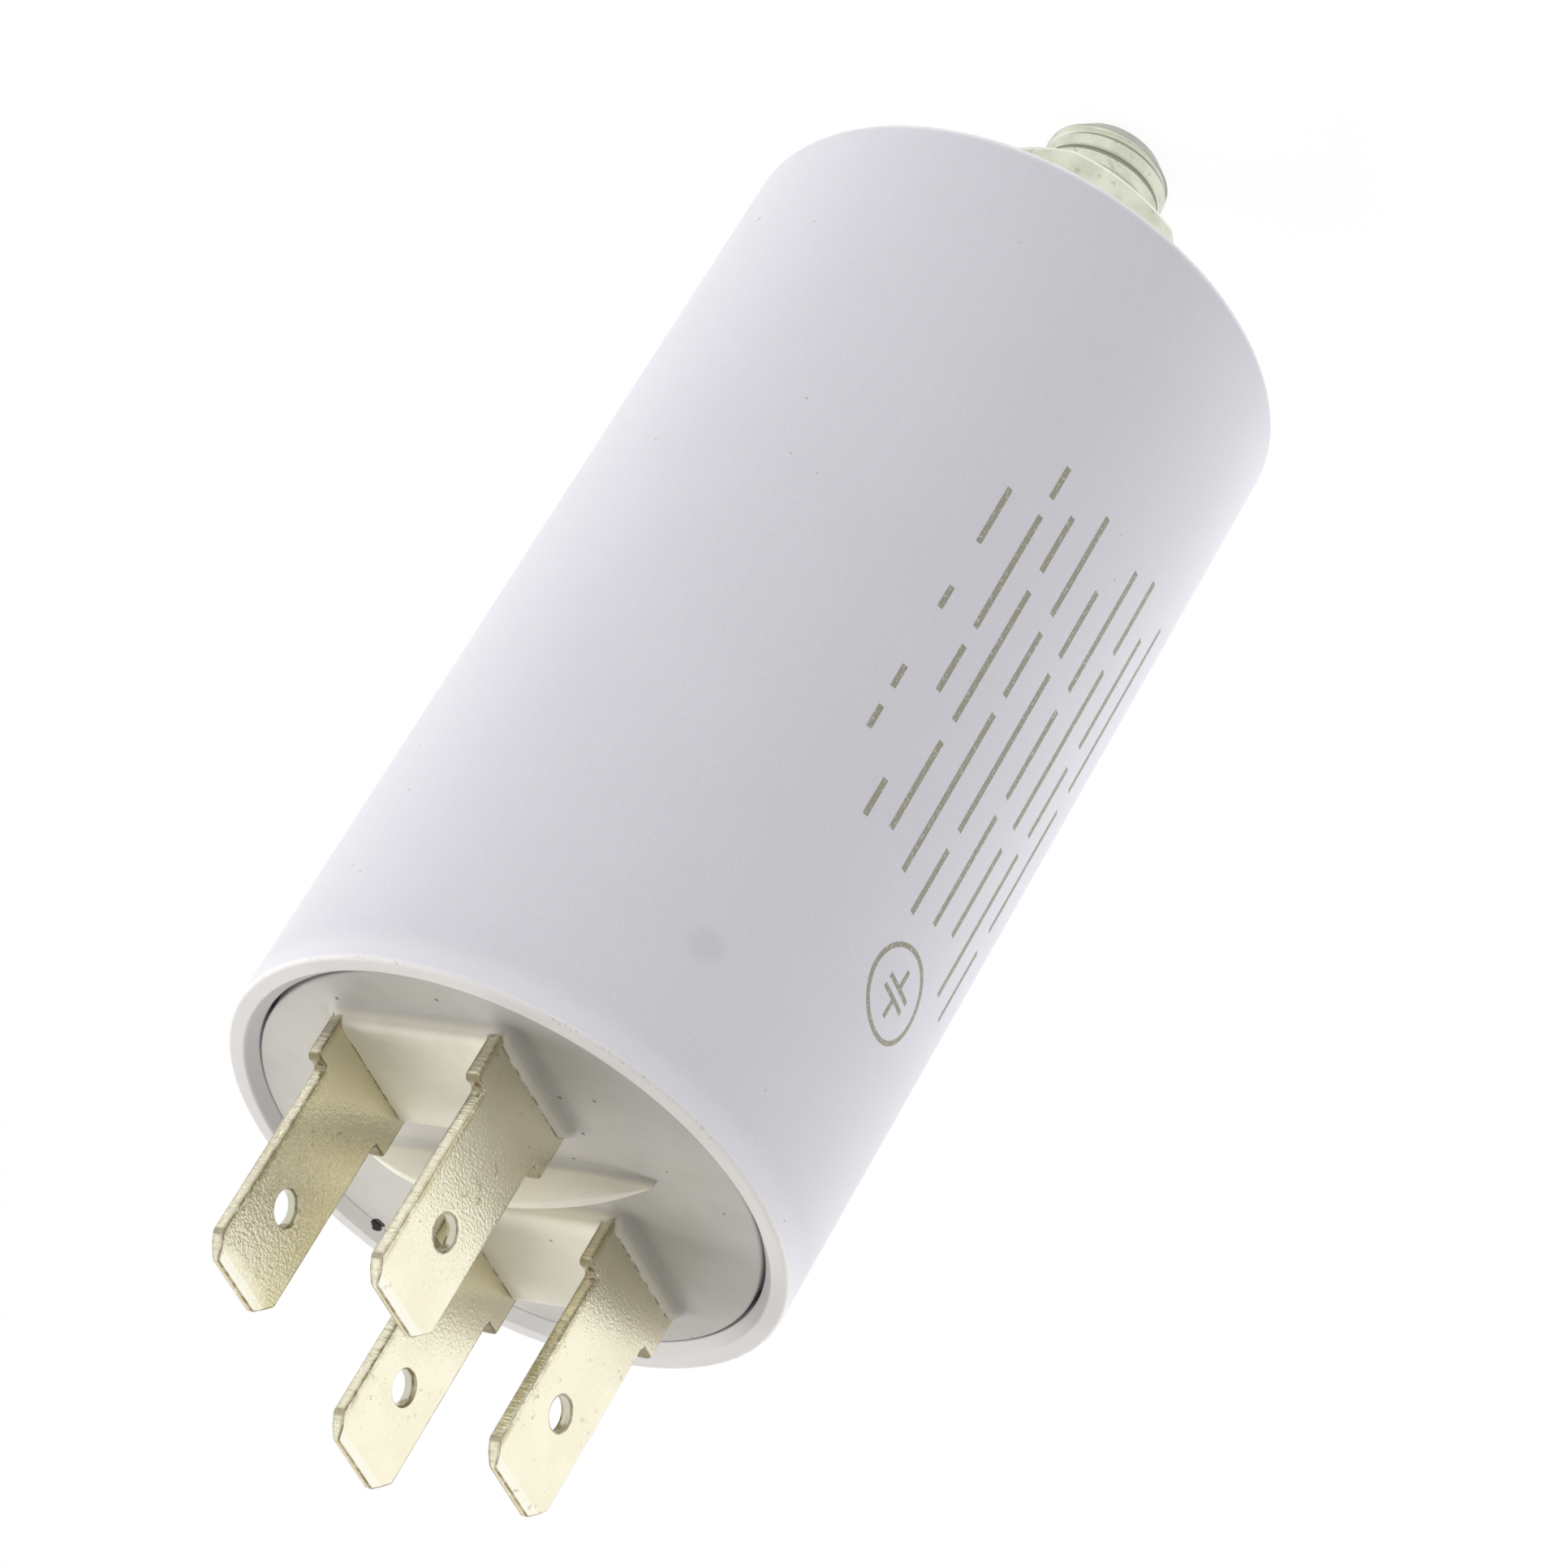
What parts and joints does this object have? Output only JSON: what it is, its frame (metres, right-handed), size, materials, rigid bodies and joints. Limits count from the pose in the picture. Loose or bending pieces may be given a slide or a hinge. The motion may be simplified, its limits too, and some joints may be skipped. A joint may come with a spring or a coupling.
{
  "type": "motor-run film capacitor",
  "caption": "Round white plastic can with a threaded fixing stud and nut at its base and paired push-on blade tabs on a recessed lid, for a single-phase motor.",
  "frame": {"origin": "centre of the can's flat base, where the stud leaves it", "axes": "+Z along the can's axis from the base to the tabs; X across each pair of tabs; Y from one pair to the other"},
  "size_m": [0.034, 0.034, 0.0954],
  "materials": {
    "can": "satin white moulded plastic",
    "lid": "satin cream-white moulded plastic",
    "terminal": "tin-plated, lightly hammered and scratched",
    "stud": "zinc-plated",
    "fastener": "zinc-plated",
    "core": "plain moulded tube",
    "film": "metallised film, wound tight",
    "spray": "rough sprayed zinc",
    "lead": "drawn copper wire",
    "resin": "cast resin"
  },
  "bodies": {
    "root": {"can": "can", "lid": "lid", "terminal_a": "terminal", "terminal_b": "terminal", "stud": "stud", "hex_nut": "fastener", "lock_washer": "fastener", "plain_washer": "fastener", "winding_core": "core", "film_winding": "film", "sprayed_end_top": "spray", "sprayed_end_bottom": "spray", "lead_short": "lead", "lead_long": "lead", "potting_resin": "resin"}
  },
  "joints": []
}
